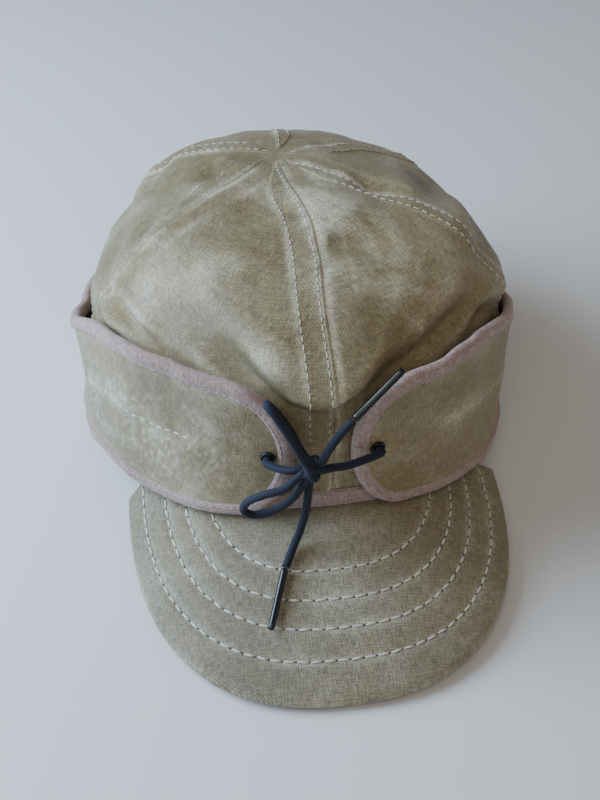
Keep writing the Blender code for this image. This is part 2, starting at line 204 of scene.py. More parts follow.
def area_light(name, place, target, size, power, colour):
    data = bpy.data.lights.new(name, "AREA")
    data.size = size
    data.energy = power
    data.color = colour
    light = add_object(name, data)
    light.location = place
    light.rotation_mode = "QUATERNION"
    light.rotation_quaternion = (Vector(target) - Vector(place)).to_track_quat("-Z", "Y")


for light in (("window_light", (-0.62, 0.10, 0.50), (0, 0, 0.04), 0.55, 13.0, (0.60, 0.78, 1.0)),
              ("sky_light", (-0.85, -0.10, 0.22), (0, 0, 0.05), 0.5, 5.0, (0.34, 0.60, 1.0)),
              ("front_light", (-0.15, -0.9, 1.1), (0, 0, 0.05), 0.9, 4.2, (1.0, 0.88, 0.72)),
              ("warm_fill", (0.9, -0.2, 0.5), (0, 0, 0.05), 0.8, 0.7, (1.0, 0.82, 0.6))):
    area_light(*light)

# %% [markdown]
# ## Shader groups
# Two effects are shared by the cloths, so each is a node group with named sockets.  `weave` turns
# the cloth's own UV map, in metres, into crossing threads.  The other group mixes a fresh, a faded
# and a dark colour: blotches where the wax has moved, thin pale lines where it has cracked, and pale
# rubbed places along seams, which come from an attribute of each mesh.  These are rubbed wear along
# seams, edges and stitch rows, and on the crown they are also a painted highlight on the seam and
# crease ridges.


# %% Helpers for node trees
def new_group(name, inputs, outputs):
    group = bpy.data.node_groups.new(name, "ShaderNodeTree")
    for label, kind, value in inputs:
        socket = group.interface.new_socket(label, in_out="INPUT", socket_type=kind)
        socket.default_value = value
    for label, kind in outputs:
        group.interface.new_socket(label, in_out="OUTPUT", socket_type=kind)
    return group, group.nodes.new("NodeGroupInput"), group.nodes.new("NodeGroupOutput")


def maths(tree, operation, *operands):
    """One Math node; each operand is a number or a socket."""
    node = tree.nodes.new("ShaderNodeMath")
    node.operation = operation
    for socket, value in zip(node.inputs, operands):
        feed(tree, socket, value)
    return node.outputs[0]


def mix_colour(tree, share, first, second, mode="MIX"):
    node = tree.nodes.new("ShaderNodeMix")
    node.data_type = "RGBA"
    node.blend_type = mode
    for number, value in ((0, share), (6, first), (7, second)):
        feed(tree, node.inputs[number], value)
    return node.outputs[2]


def noise_value(tree, vector, scale, detail=3.0, roughness=0.55, distortion=0.0):
    node = fill(tree, tree.nodes.new("ShaderNodeTexNoise"), Vector=vector, Scale=scale,
                Detail=detail, Roughness=roughness, Distortion=distortion)
    return node.outputs["Fac"]


def ramp(tree, value, low, high):
    """Stretch the values between low and high to 0 and 1."""
    node = tree.nodes.new("ShaderNodeMapRange")
    node.interpolation_type = "SMOOTHSTEP"
    return fill(tree, node, Value=value, From_Min=low, From_Max=high).outputs["Result"]


# %% The weave group
def make_weave():
    """Plain weave: warp and weft threads that go over and under one another, as a height."""
    tree, source, result = new_group("weave", [("Threads per metre", "NodeSocketFloat", 1500.0),
                                               ("Slub", "NodeSocketFloat", 1.6)],
                                     [("Height", "NodeSocketFloat"), ("Thread", "NodeSocketFloat")])
    place = tree.nodes.new("ShaderNodeUVMap")
    place.uv_map = "cloth"
    wobble = noise_value(tree, place.outputs[0], 90.0, 2.0)
    parts = tree.nodes.new("ShaderNodeSeparateXYZ")
    tree.links.new(place.outputs[0], parts.inputs[0])
    shift = maths(tree, "MULTIPLY", wobble, 1.6)
    threads = source.outputs["Threads per metre"]
    across = maths(tree, "ADD", maths(tree, "MULTIPLY", parts.outputs[0], threads), shift)
    along = maths(tree, "ADD", maths(tree, "MULTIPLY", parts.outputs[1], threads), shift)
    warp = maths(tree, "ABSOLUTE", maths(tree, "SINE", maths(tree, "MULTIPLY", across, pi)))
    weft = maths(tree, "ABSOLUTE", maths(tree, "SINE", maths(tree, "MULTIPLY", along, pi)))
    cell = maths(tree, "ADD", maths(tree, "FLOOR", across), maths(tree, "FLOOR", along))
    over = maths(tree, "MODULO", maths(tree, "ABSOLUTE", cell), 2.0)
    under = maths(tree, "SUBTRACT", 1.0, over)
    crossed = maths(tree, "ADD", maths(tree, "MULTIPLY", warp, over),
                    maths(tree, "MULTIPLY", weft, under))
    slubs = []
    for stretch in ((240.0, 2100.0, 1.0), (2000.0, 260.0, 1.0)):
        stretched = fill(tree, tree.nodes.new("ShaderNodeMapping"), Scale=stretch, Vector=place.outputs[0])
        slubs.append(noise_value(tree, stretched.outputs[0], 1.0, 2.0, 0.6))
    slub = maths(tree, "MULTIPLY", maths(tree, "ADD", slubs[0], slubs[1]), 0.5)
    height = maths(tree, "MULTIPLY_ADD", slub, source.outputs["Slub"], crossed)
    tree.links.new(height, result.inputs["Height"])
    tree.links.new(ramp(tree, slub, 0.38, 0.62), result.inputs["Thread"])
    return tree


# %% The wax wear and painted highlight group
def make_wax_wear_and_highlight():
    tree, source, result = new_group(
        "wax_wear_and_highlight",
        [("Fresh", "NodeSocketColor", (0.2, 0.2, 0.1, 1)), ("Faded", "NodeSocketColor", (0.4, 0.4, 0.3, 1)),
         ("Dark", "NodeSocketColor", (0.1, 0.1, 0.05, 1)), ("Wear", "NodeSocketFloat", 1.0)],
        [("Color", "NodeSocketColor"), ("Roughness", "NodeSocketFloat"), ("Crack", "NodeSocketFloat")])
    place = tree.nodes.new("ShaderNodeTexCoord").outputs["Object"]
    blotch = noise_value(tree, place, 34.0, 5.0, 0.62, 0.5)
    cloud = noise_value(tree, place, 12.0, 3.0, 0.5)
    speck = noise_value(tree, place, 520.0, 3.0, 0.75)
    vein_noise = noise_value(tree, place, 30.0, 3.0, 0.5, 1.0)
    ridge = maths(tree, "ABSOLUTE", maths(tree, "SUBTRACT", vein_noise, 0.5))
    vein = maths(tree, "SUBTRACT", 1.0, ramp(tree, ridge, 0.0, 0.016))
    vein = maths(tree, "MULTIPLY", vein, ramp(tree, cloud, 0.42, 0.62))
    # Pale places from an attribute of each mesh: rubbed wear along seams, edges and stitch rows, and on the
    # crown also a painted highlight on the seam ridges and crease ridges.
    rub_and_highlight = tree.nodes.new("ShaderNodeAttribute")
    rub_and_highlight.attribute_name = "rub_and_highlight"
    patchy = maths(tree, "MULTIPLY", rub_and_highlight.outputs["Fac"], ramp(tree, blotch, 0.30, 0.62))
    pale = maths(tree, "MULTIPLY", ramp(tree, blotch, 0.40, 0.76), 0.34)
    pale = maths(tree, "ADD", pale, maths(tree, "MULTIPLY", vein, 0.16))
    pale = maths(tree, "ADD", pale, patchy)
    pale = maths(tree, "ADD", pale, maths(tree, "MULTIPLY", ramp(tree, speck, 0.50, 0.70), 0.22))
    pale = maths(tree, "MINIMUM", maths(tree, "MULTIPLY", pale, source.outputs["Wear"]), 1.0)
    dark = maths(tree, "MULTIPLY", ramp(tree, cloud, 0.58, 0.36), 0.55)
    colour = mix_colour(tree, dark, source.outputs["Fresh"], source.outputs["Dark"])
    colour = mix_colour(tree, pale, colour, source.outputs["Faded"])
    tree.links.new(colour, result.inputs["Color"])
    tree.links.new(maths(tree, "MULTIPLY_ADD", pale, 0.22, 0.44), result.inputs["Roughness"])
    tree.links.new(vein, result.inputs["Crack"])
    return tree


WEAVE = make_weave()
WAX_WEAR_AND_HIGHLIGHT = make_wax_wear_and_highlight()

# %% [markdown]
# ## Cloth materials
# Waxed canvas is dull but not dead: the wax gives it a low, wide gloss.  The tape and the linings
# are unwaxed, so they are rougher and have a soft sheen instead.


# %% Cloth material builders
def group_node(tree, group, **values):
    node = tree.nodes.new("ShaderNodeGroup")
    node.node_tree = group
    return fill(tree, node, **values)


def bump(tree, shader, height, strength, distance):
    node = fill(tree, tree.nodes.new("ShaderNodeBump"), Strength=strength, Distance=distance,
                Height=height)
    fill(tree, shader, Normal=node.outputs["Normal"])


def woven_material(name, fresh, faded, dark, wear, threads, depth, sheen, roughness=None, wax=0.0):
    material = plain_material(name, fresh, 0.7)
    tree = material.node_tree
    shader = tree.nodes["Principled BSDF"]
    weave = group_node(tree, WEAVE, Threads_per_metre=threads)
    wear_and_highlight = group_node(tree, WAX_WEAR_AND_HIGHLIGHT, Fresh=fresh, Faded=faded, Dark=dark, Wear=wear)
    shade = maths(tree, "MULTIPLY_ADD", weave.outputs["Thread"], 0.62, 0.34)
    shade = maths(tree, "MULTIPLY_ADD", weave.outputs["Height"], 0.24, shade)
    colour = mix_colour(tree, 1.0, wear_and_highlight.outputs["Color"], shade, "MULTIPLY")
    lump = maths(tree, "MULTIPLY_ADD", wear_and_highlight.outputs["Crack"], 0.8, weave.outputs["Height"])
    bump(tree, shader, lump, 0.55, depth)
    fill(tree, shader, Base_Color=colour, Roughness=roughness or wear_and_highlight.outputs["Roughness"],
         Sheen_Weight=sheen, Sheen_Roughness=0.4, Specular_IOR_Level=0.5, Coat_Weight=wax,
         Coat_Roughness=0.42)
    return material


waxed_canvas = woven_material("waxed_canvas", (0.258, 0.194, 0.088), (0.490, 0.428, 0.290),
                              (0.138, 0.103, 0.042), 1.0, 1800.0, 0.00034, 0.06, wax=0.22)
bill_canvas = woven_material("bill_canvas", (0.226, 0.181, 0.100), (0.470, 0.425, 0.315),
                             (0.138, 0.112, 0.060), 0.90, 1800.0, 0.00034, 0.06, wax=0.22)
tape_cloth = woven_material("binding_tape", (0.360, 0.250, 0.215), (0.470, 0.370, 0.340),
                            (0.250, 0.165, 0.135), 0.5, 2200.0, 0.00010, 0.25, 0.85)
black_cloth = woven_material("black_lining", (0.012, 0.012, 0.014), (0.030, 0.030, 0.034),
                             (0.006, 0.006, 0.007), 0.6, 1800.0, 0.00012, 0.15, 0.9)
sweat_cloth = woven_material("sweatband_twill", (0.270, 0.215, 0.140), (0.360, 0.300, 0.220),
                             (0.190, 0.145, 0.090), 0.6, 1500.0, 0.00012, 0.10, 0.85)
print("materials:", [m.name for m in bpy.data.materials])

# %% [markdown]
# ## A cloth piece from a grid
# Every cloth piece starts as a flat grid, like the cut cloth before it is sewn.  It gets a UV map
# in metres first, so its threads keep their size, and is then moved onto its shape.  Solidify
# gives the cloth its thickness, and the modifiers are applied so that the mesh is final.


# %% Cloth helper
def on_cap(piece, slot, *nodes):
    """The piece rides on the cap and stands for some CAD nodes; slot is not used."""
    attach(piece, "cap")
    if nodes:
        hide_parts(*nodes)
    return piece


def apply_modifiers(piece):
    """Swap the piece's mesh for the one that its modifiers make."""
    view = bpy.context.evaluated_depsgraph_get()
    final = bpy.data.meshes.new_from_object(piece.evaluated_get(view), depsgraph=view)
    piece.modifiers.clear()
    piece.data = final
    return piece


def cloth(name, columns, rows, place, cut, material, thickness=0.0, rub_and_highlight=None, ring=False):
    """A grid moved by place(u, v), with UVs in metres from cut(u, v) and a thickness inwards."""
    shape = bmesh.new()
    bmesh.ops.create_grid(shape, x_segments=columns, y_segments=rows, size=0.5)
    layer = shape.loops.layers.uv.new("cloth")
    # A value for each vertex that makes the cloth pale: rubbed wear, and on the crown also a painted
    # highlight.
    wear_and_highlight = shape.verts.layers.float.new("rub_and_highlight")
    for face in shape.faces:
        face.smooth = True
        for loop in face.loops:
            loop[layer].uv = cut(loop.vert.co.x + 0.5, loop.vert.co.y + 0.5)
    for vertex in shape.verts:
        u, v = vertex.co.x + 0.5, vertex.co.y + 0.5
        vertex.co = place(u, v)
        vertex[wear_and_highlight] = rub_and_highlight(u, v) if rub_and_highlight else 0.0
    if ring:
        bmesh.ops.remove_doubles(shape, verts=shape.verts, dist=0.00002)
    piece = made_from(shape, name, material)
    if thickness:
        wall = piece.modifiers.new("cloth thickness", "SOLIDIFY")
        wall.thickness = thickness
        wall.offset = -1.0
        apply_modifiers(piece)
    print(name, len(piece.data.polygons), "faces")
    return piece


# %% [markdown]
# ## Stitches
# A stitch is a small ball, stretched along its row and half sunk in the cloth.  A row walks along a
# list of places on the cloth, each with its outward direction, and sets one stitch every pitch.
# Between the stitches of the crown and the bill, a flat dark disc is the painted shade of a needle hole.


# %% Stitch rows
def walk(spots, pitch):
    """Places every pitch along spots, which are (place, outward) pairs, with the direction."""
    found, left = [], 0.0
    for (start, up), (end, _) in zip(spots, spots[1:]):
        length = (end - start).length
        if length < 1e-7:
            continue
        along = (end - start) / length
        while left < length:
            found.append((start + along * left, up, along))
            left += pitch
        left -= length
    return found


def sphere_mesh(around, high):
    shape = bmesh.new()
    bmesh.ops.create_uvsphere(shape, u_segments=around, v_segments=high, radius=1.0,
                              matrix=Matrix.Rotation(pi / 2, 4, "Y"))
    for face in shape.faces:
        face.smooth = True
    mesh = bpy.data.meshes.new("bead")
    shape.to_mesh(mesh)
    shape.free()
    return mesh


def copies(name, bead, places, material):
    """One mesh of many copies of a small bead, one for each matrix in places."""
    shape = bmesh.new()
    for matrix in places:
        one = bead.copy()
        one.transform(matrix)
        shape.from_mesh(one)
        bpy.data.meshes.remove(one)
    print(name, len(places), "copies")
    return made_from(shape, name, material)


def stitches(name, rows, pitch, thread, material, share=0.70):
    """One mesh of all the stitches in some rows."""
    places = []
    for spots in rows:
        for number, (place, up, along) in enumerate(walk(spots, pitch)):
            side = up.cross(along).normalized()
            level = along.cross(side).normalized()
            turn = Matrix((along, side, level)).transposed().to_4x4()
            slant = Matrix.Rotation(0.10 * sin(number * 2.3), 4, "Z")
            middle = Matrix.Translation(place + level * thread * 0.20)
            shrink = Matrix.Diagonal((pitch * share / 2, thread / 2, thread * 0.42, 1.0))
            places.append(middle @ turn @ slant @ shrink)
    return copies(name, sphere_mesh(8, 6), places, material)


def hole_shade_discs(name, rows, pitch, radius, material):
    """One mesh of flat dark discs between the stitches: the painted shade of the needle holes."""
    places = []
    for spots in rows:
        for place, up, along in walk(spots, pitch):
            turn = up.to_track_quat("Z", "Y").to_matrix().to_4x4()
            middle = Matrix.Translation(place - along * pitch / 2)
            places.append(middle @ turn @ Matrix.Diagonal((radius, radius, radius * 0.25, 1.0)))
    return copies(name, sphere_mesh(6, 4), places, material)


def thread_material(name, colour):
    """Cotton thread: a fine noise for its fibres and a coarse one for dirt."""
    material = plain_material(name, colour, 0.7)
    tree = material.node_tree
    shader = tree.nodes["Principled BSDF"]
    place = tree.nodes.new("ShaderNodeTexCoord").outputs["Object"]
    fuzz = noise_value(tree, place, 2600.0, 2.0, 0.7)
    dirt = noise_value(tree, place, 60.0, 2.0)
    shade = maths(tree, "MULTIPLY_ADD", fuzz, 0.5, 0.55)
    shade = maths(tree, "MULTIPLY", shade, maths(tree, "MULTIPLY_ADD", dirt, 0.7, 0.7))
    fill(tree, shader, Base_Color=mix_colour(tree, 1.0, colour, shade, "MULTIPLY"), Sheen_Weight=0.3)
    bump(tree, shader, fuzz, 0.6, 0.0002)
    return material


cream_thread = thread_material("cream_thread", (0.66, 0.63, 0.54))
olive_thread = thread_material("olive_thread", (0.56, 0.53, 0.43))
pink_thread = thread_material("pink_thread", (0.47, 0.37, 0.33))
# Painted shade: the dark inside of a needle hole, on flat discs between the stitches.
hole_shade_paint = plain_material("needle_hole_shade", (0.060, 0.050, 0.032), 0.9)

# %% [markdown]
# ## Crown
# Six panels are cut as long triangles and sewn with felled seams: one panel's edge laps over the
# next and is sewn down twice.  Nothing stiffens the crown, so it slumps: it rolls over
# the earband's top edge, it is dented at the top right and it is full of soft creases.  One
# function says where any place of the crown is, and all six panels and their stitches use it, so
# they meet exactly.

# %% Creases and dents of the crown
BACK_FULL = 2.35
FRONT_FULL = 1.05
WALL_SHARE = 0.12
LAP = 0.0095
LAP_HEIGHT = 0.0008
PANEL_TURN = pi / 3
ROLL_HEIGHT = 0.0065
APEX_BACK = 0.034
APEX_SIDE = -0.0025
SEAM_TURN = radians(3.0)
SEAM_BOW = radians(6.0)
SEAM_BACK = 0.17
SEAM_LIFT = radians(8.0)
# from (angle in degrees, climb), to (angle, climb), depth and half width in metres
CREASES = [
    ((-61, 0.50), (-38, 0.44), 0.0046, 0.0034),
    ((-27, 0.54), (-13, 0.41), 0.0032, 0.0052),
    ((-14, 0.60), (-9, 0.43), -0.0018, 0.0060),
    ((-16, 0.72), (-13, 0.60), 0.0016, 0.0080),
    ((-16, 0.73), (-2, 0.745), 0.0020, 0.0050),
    ((3, 0.735), (22, 0.70), 0.0030, 0.0045),
    ((11, 0.42), (42, 0.51), 0.0038, 0.0050),
    ((22, 0.38), (48, 0.45), 0.0028, 0.0040),
    ((-92, 0.78), (-78, 0.84), 0.0022, 0.0045),
    ((-84, 0.55), (-62, 0.50), 0.0018, 0.0060),
    ((-48, 0.70), (-20, 0.80), 0.0014, 0.0070),
    ((62, 0.66), (96, 0.56), 0.0022, 0.0055),
    ((46, 0.56), (76, 0.50), 0.0020, 0.0060),
    ((-120, 0.44), (-92, 0.52), 0.0022, 0.0055),
    ((110, 0.42), (140, 0.50), 0.0024, 0.0052),
    ((150, 0.40), (176, 0.50), 0.0022, 0.0052),
    ((-168, 0.48), (-130, 0.40), 0.0024, 0.0052),
    ((-150, 0.64), (-118, 0.56), 0.0018, 0.0060),
]
# (angle, climb), depth, half width; a negative depth is a bulge
DENTS = [
    ((62, 0.765), 0.0052, 0.0085),
    ((84, 0.70), 0.0030, 0.0160),
    ((17, 0.81), -0.0040, 0.0125),
    ((26, 0.63), -0.0026, 0.0125),
    ((-52, 0.41), -0.0024, 0.0085),
    ((-72, 0.62), 0.0034, 0.0080),
    ((-63, 0.67), -0.0012, 0.0070),
    ((-34, 0.57), 0.0014, 0.0090),
    ((-46, 0.58), -0.0020, 0.0130),
    ((-36, 0.82), 0.0022, 0.0140),
    ((170, 0.70), 0.0030, 0.0220),
]
CLIMB_LENGTH = 0.175
MEAN_RADIUS = 0.094
PANEL_LENGTH = 0.19
ROUND_LENGTH = 0.56


def crown_reach(angle, climb):
    """Share of the full width that is left at this climb, and the share of the height."""
    if climb < WALL_SHARE:
        return 1.0, 0.0
    full = BACK_FULL + FRONT_FULL * smooth(cos(angle), -0.6, 0.5)
    turn = pi / 2 * (climb - WALL_SHARE) / (1 - WALL_SHARE)
    size = (cos(turn) ** full + sin(turn) ** full) ** (1 / full)
    return max(cos(turn), 0.0) / size, sin(turn) / size


def crease_depth(angle, climb):
    """How far creases and dents pull a place inwards, measured over the cloth in metres."""
    round_way = MEAN_RADIUS * max(crown_reach(angle, climb)[0], 0.12)

    def gap_from(place):
        return Vector((turned(angle - radians(place[0])) * round_way, (climb - place[1]) * CLIMB_LENGTH))

    depth = 0.0
    for start, end, deep, half in CREASES:
        here = gap_from(start)
        line = Vector((radians(end[0] - start[0]) * round_way, (end[1] - start[1]) * CLIMB_LENGTH))
        along = min(max(here.dot(line) / line.length_squared, 0.0), 1.0)
        away = (here - line * along).length
        fade = sin(pi * min(max(along, 0.04), 0.96)) ** 0.6
        depth += deep * fade * (exp(-(away / half) ** 2) - 0.55 * exp(-((away - 2.1 * half) / half) ** 2))
    for place, deep, half in DENTS:
        depth += deep * exp(-(gap_from(place).length / half) ** 2)
    return depth


def seam_gap(angle, climb):
    """Signed distance in metres to the nearest seam; negative on the lapped side."""
    reach = crown_reach(angle, climb)[0]
    step = (angle / PANEL_TURN) - round(angle / PANEL_TURN)
    return step * PANEL_TURN * MEAN_RADIUS * max(reach, 0.02)


def crown_point(angle, climb, inset=0.0):
    """Where the outside of the crown is, or a layer inset metres within it."""
    front_turn = SEAM_TURN + SEAM_BOW * hump(climb, 0.80, 0.13)
    turn = angle + front_turn * max(cos(angle), 0.0) ** 3 + SEAM_BACK * sin(angle)
    turn += SEAM_LIFT * max(sin(angle), 0.0) ** 2 * hump(climb, 0.68, 0.20)
    reach, lift = crown_reach(turn, climb)
    shoulder = low_edge(turn) + CROWN_WALL
    height = shoulder + (CROWN_TOP + 0.0010 - shoulder) * lift
    if climb < WALL_SHARE:
        height = low_edge(turn) + 0.0008 + (CROWN_WALL - 0.0008) * climb / WALL_SHARE
    out = Vector((sin(turn) * CROWN_LONG, -cos(turn) * CROWN_WIDE, 0.0)).normalized()
    slope = min(max((climb - WALL_SHARE) / (1 - WALL_SHARE), 0.0), 1.0) ** 1.5 * pi / 2
    direction = out * cos(slope) + Vector((0, 0, sin(slope)))
    front = exp(-(turned(turn) / radians(16)) ** 2)
    foot = low_edge(turn) + (BAND_LIFT + BAND_HEIGHT * ear(turn)) * (1 - front) + 0.052 * front
    bulge = smooth(height, foot - 0.002, foot + 0.0075 - 0.003 * front)
    bulge *= (1 - smooth(height, foot + 0.010, foot + 0.040) * 0.9) * smooth(reach, 0.04, 0.60)
    sides = hump(abs(turned(turn)), radians(90), radians(40))
    amount = ROLL_HEIGHT * (1 + 0.45 * front - (0.45 if turned(turn) > 0 else 0.75) * sides)
    wall = lean(turn, height)
    flat = Vector(((CROWN_WIDE + wall) * reach * sin(turn),
                   HEAD_Y - (CROWN_LONG + wall) * reach * cos(turn), height))
    ripple = noise.noise(flat * 17) * 0.0030 + noise.noise(flat * 44 + Vector((7, 1, 3))) * 0.0011
    free = smooth(height, foot - 0.004, foot + 0.006)
    crease = crease_depth(angle, climb) * smooth(reach, 0.02, 0.22)
    crease *= smooth(height, foot - 0.012, foot - 0.003)
    move = bulge * amount + ripple * free - crease - inset
    move += 0.0004 * noise.noise(flat * 120) * free
    gap = seam_gap(angle, climb)
    if inset == 0.0 and climb < 0.97:
        raised = LAP_HEIGHT * (0.75 + 0.25 * smooth(cos(angle), 0.8, 0.95)) * smooth(reach, 0.03, 0.15)
        lap = min(LAP, 0.040 * reach)
        if -lap < gap <= 0:
            move += raised * smooth(gap, -lap, -lap + 0.0012) * (1 - smooth(gap, -0.0010, 0.0))
    slump = (1 - reach) ** 1.5
    return flat + Vector((APEX_SIDE * slump, APEX_BACK * slump, 0)) + direction * move


# %% Six crown panels
def crown_panel(name, first):
    def angle_at(u):
        return first + PANEL_TURN * min(max(u - 0.75 * sin(2 * pi * u) / (2 * pi), 0.00001), 0.99999)

    # Pale along both edges of each lapped seam and on the raised ridges beside the creases: rubbed wax, and
    # a painted highlight where these ridges catch the light.
    def rub_and_highlight(u, v):
        gap = abs(seam_gap(angle_at(u), v))
        edge = hump(gap, 0.0009, 0.0014) * 0.90 + hump(gap, 0.0092, 0.0014) * 0.35
        ridge = max(-crease_depth(angle_at(u), v), 0.0) / 0.0020 * 0.5
        return min(edge + ridge, 0.9)

    def cut(u, v):
        across = (angle_at(u) - first - PANEL_TURN / 2) * MEAN_RADIUS * crown_reach(angle_at(u), v)[0]
        return across, v * PANEL_LENGTH

    return cloth(name, 84, 110, lambda u, v: crown_point(angle_at(u), v), cut,
                 waxed_canvas, 0.0012, rub_and_highlight)


PANEL_NAMES = ("front_right", "side_right", "back_right", "back_left", "side_left", "front_left")
for number, word in enumerate(PANEL_NAMES):
    panel = crown_panel(f"canvas_panel_{word}", number * PANEL_TURN)
    on_cap(panel, "waxed_canvas", f"crown_panel_{word}")


# %% Seam stitches of the crown
def crown_spot(angle, climb):
    here = crown_point(angle, climb)
    across = crown_point(angle + 0.004, climb) - here
    up = crown_point(angle, min(climb + 0.004, 0.999)) - here
    return here, across.cross(up).normalized()


def seam_row(seam, offset):
    """A row beside a seam, offset metres to its lapped side, from the roll to the top."""
    spots = []
    for step in range(161):
        climb = 0.16 + 0.80 * step / 160
        reach = crown_reach(seam, climb)[0]
        if MEAN_RADIUS * reach * PANEL_TURN < 3.2 * offset:
            break
        spots.append(crown_spot(seam - offset / (MEAN_RADIUS * reach), climb))
    return spots


SEAM_PITCH = 0.0036
SEAM_OFFSETS = (0.0019, 0.0082)
seam_rows = [seam_row(number * PANEL_TURN, offset) for number in range(6) for offset in SEAM_OFFSETS]
on_cap(stitches("crown_seam_stitches", seam_rows, SEAM_PITCH, 0.00055, olive_thread), "waxed_canvas")
on_cap(hole_shade_discs("crown_needle_hole_shade", seam_rows, SEAM_PITCH, 0.00030, hole_shade_paint), "waxed_canvas")

# %% [markdown]
# ## Bill
# The bill is a stiff board between two covers.  It rises to the crown at the middle and its outer
# edge lies nearly level.  Four rows of thread follow its outline, and pull the cover down into
# shallow valleys, so it is quilted a little between them.

# %% Bill sizes
bill_low, bill_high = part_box("bill_top_cover")
BILL_WIDE = bill_high.x
BILL_TIP = bill_low.y + 0.0012
BILL_SKEW = 0.0032
BILL_WIDE_LINE = HEAD_Y - 0.069
BILL_REACH = BILL_WIDE_LINE - BILL_TIP
BILL_FULL = 2.5
BILL_HALF_ANGLE = radians(50)
BILL_EDGE_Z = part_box("bill_bottom_cover")[0].z
BILL_THICK = 0.0047
QUILT_DEPTH = 0.00055
TOWARDS_EDGE = 1.35
ROW_INSETS = ((0.0068, 0.0140), (0.0155, 0.0250), (0.0230, 0.0355), (0.0315, 0.0465))
print(f"bill half width {BILL_WIDE:.4f}, reach {BILL_REACH:.4f}")


def half_width(place):
    """The bill is a little wider on the side that has been bent flatter."""
    return BILL_WIDE + (BILL_SKEW if place > 0 else 0.0)


def bill_outline(side, inset_wide=0.0, inset_long=0.0):
    """A place on the bill's outline; side runs from -1 to 1, insets move it inwards."""
    turn = side * pi / 2
    wide = abs(sin(turn)) ** (2 / BILL_FULL)
    far = abs(cos(turn)) ** (2 / BILL_FULL)
    return Vector(((half_width(side) - inset_wide) * wide * (1 if side > 0 else -1),
                   BILL_WIDE_LINE - (BILL_REACH - inset_long) * far, 0.0))


def bill_point(side, inward, top):
    """A place on the bill between its outline and the crown; top is 0 below and 1 above."""
    edge = bill_outline(side)
    edge.z = BILL_EDGE_Z + 0.0034 * abs(sin(side * pi / 2)) ** 1.6 + BILL_THICK * 0.5
    angle = side * BILL_HALF_ANGLE
    root = Vector(((CROWN_WIDE - 0.003) * sin(angle), HEAD_Y - (CROWN_LONG - 0.003) * cos(angle),
                   low_edge(angle) - 0.0008 - BILL_THICK * 0.5))
    middle = edge.lerp(root, inward)
    middle.z += 0.0022 * sin(pi * min(inward, 1.0)) * cos(side * pi / 2)
    wave = noise.noise(Vector((middle.x * 22, middle.y * 22, 3.0))) * 0.0009
    middle.z += wave * smooth(inward, 0.02, 0.3)
    half = BILL_THICK * 0.5 * min(1.0, (1 - (1 - min(inward / 0.035, 1.0)) ** 2) ** 0.5)
    return middle + Vector((0, 0, half if top else -half))


def row_depth(place):
    """How far the nearest stitch row pulls the cover down."""
    depth = 0.0
    for wide, far in ROW_INSETS:
        x = abs(place.x) / (half_width(place.x) - wide)
        y = max(BILL_WIDE_LINE - place.y, 0.0) / (BILL_REACH - far)
        size = (x ** BILL_FULL + y ** BILL_FULL) ** (1 / BILL_FULL)
        depth += hump((size - 1.0) * (BILL_REACH - far), 0.0, 0.0018) * QUILT_DEPTH
    return depth


def bill_surface(top):
    def place(u, v):
        side = (u * 2 - 1) * (1 if top else -1)
        inward = v ** TOWARDS_EDGE
        spot = bill_point(side, inward, top)
        if top:
            spot.z -= row_depth(spot)
        return spot

    return place


def bill_rub(u, v):
    spot = bill_point(u * 2 - 1, v ** TOWARDS_EDGE, True)
    return min(row_depth(spot) / QUILT_DEPTH * 0.55 + hump(v, 0.0, 0.05) * 0.5, 0.9)


def bill_cut(u, v):
    spot = bill_point(u * 2 - 1, v ** TOWARDS_EDGE, True)
    return spot.x, spot.y


def bill_board(u, v):
    """The stiff board, a little smaller than the covers."""
    spot = bill_point(u * 2 - 1, 0.05 + 0.93 * v, True)
    spot.z -= BILL_THICK * 0.28
    return spot


bill_top = cloth("canvas_bill_top", 190, 80, bill_surface(True), bill_cut, bill_canvas, 0.0, bill_rub)
on_cap(bill_top, "waxed_canvas", "bill_top_cover")
bill_under = cloth("canvas_bill_under", 120, 40, bill_surface(False), bill_cut, bill_canvas)
on_cap(bill_under, "waxed_canvas", "bill_bottom_cover")
board_cloth = plain_material("bill_board", (0.45, 0.43, 0.38), 0.8)
board = cloth("stiff_bill_board", 60, 12, bill_board, bill_cut, board_cloth, 0.0018)
on_cap(board, "bill_board", "bill_core")


# %% Rows of thread on the bill
bill_surface_tree = BVHTree.FromObject(bill_top, bpy.context.evaluated_depsgraph_get())


def onto_bill(places):
    """Drop places straight down onto the bill's top; those beside it are left out."""
    spots = []
    for place in places:
        hit, normal, _, _ = bill_surface_tree.ray_cast(place + Vector((0, 0, 0.2)), Vector((0, 0, -1)))
        if hit is not None:
            spots.append((hit, normal))
    return spots


def bill_leg(wide, far, side):
    """The straight end of a row, from the widest line back towards the crown."""
    start = bill_outline(side, wide, far)
    return onto_bill(start + Vector((-side * 0.004 * (step / 60) ** 2, 0.060 * step / 60, 0))
                     for step in range(61))


BILL_PITCH = 0.0050
bill_rows = []
for wide, far in ROW_INSETS:
    curve = onto_bill(bill_outline(-0.999 + 1.998 * step / 240, wide, far) for step in range(241))
    bill_rows.append(bill_leg(wide, far, -1)[::-1] + curve + bill_leg(wide, far, 1))
on_cap(stitches("bill_stitches", bill_rows, BILL_PITCH, 0.00092, cream_thread, 0.78), "waxed_canvas")
on_cap(hole_shade_discs("bill_needle_hole_shade", bill_rows, BILL_PITCH, 0.00045, hole_shade_paint), "waxed_canvas")

# %% [markdown]
# ## Inside of the cap
# The lining follows the crown a little within it.  The sweatband is a plain strip of twill
# along the lower edge, folded at its top.  A tape is folded round the raw lower edge of all of
# them and sewn with three rows.

